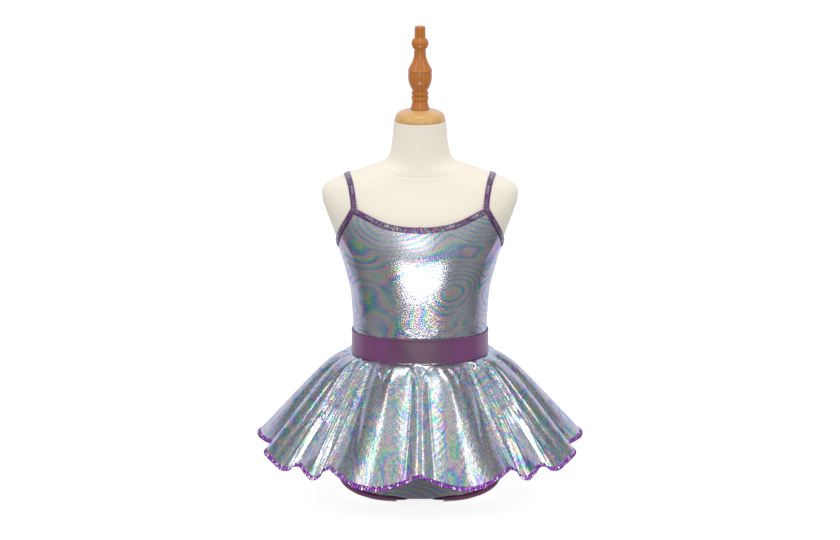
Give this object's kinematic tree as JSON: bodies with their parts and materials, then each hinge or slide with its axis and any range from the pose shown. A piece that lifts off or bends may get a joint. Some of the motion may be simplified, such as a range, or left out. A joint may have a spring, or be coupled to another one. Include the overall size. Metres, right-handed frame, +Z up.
{
  "type": "child's skirted dance leotard on a limbless dress form",
  "caption": "Iridescent silver camisole leotard with a flared skirt under a purple waistband, shown on a cream limbless dress form with a turned wooden finial.",
  "frame": {"origin": "on the floor, under the middle of the whole part", "axes": "+Z up, -Y towards the front of the garment, +X towards the wearer's left side"},
  "size_m": [0.42, 0.377, 0.614],
  "materials": {
    "foil_cloth": "iridescent silver foil on stretch knit, mirror-like",
    "purple_binding": "satin purple foil binding with a grey shimmer",
    "purple_band": "smooth purple foil on stretch knit",
    "glitter_trim": "ridged glitter edging, purple with pale glints",
    "form_cover": "matt cream jersey stretched over the form",
    "pale_wood": "pale sanded wood",
    "turned_wood": "gloss varnished turned wood"
  },
  "bodies": {
    "root": {"bodice_front": "foil_cloth", "bodice_back": "foil_cloth", "brief_front": "foil_cloth", "brief_back": "foil_cloth", "gusset": "foil_cloth", "skirt_front": "foil_cloth", "skirt_back": "foil_cloth", "binding_neck_front": "purple_binding", "binding_neck_back": "purple_binding", "binding_armhole_right": "purple_binding", "binding_armhole_left": "purple_binding", "strap_right": "purple_binding", "strap_left": "purple_binding", "leg_binding_right": "purple_binding", "leg_binding_left": "purple_binding", "waistband": "purple_band", "hem_trim_front": "glitter_trim", "hem_trim_back": "glitter_trim", "form_torso": "form_cover", "neck_cap": "pale_wood", "neck_finial": "turned_wood"}
  },
  "joints": []
}
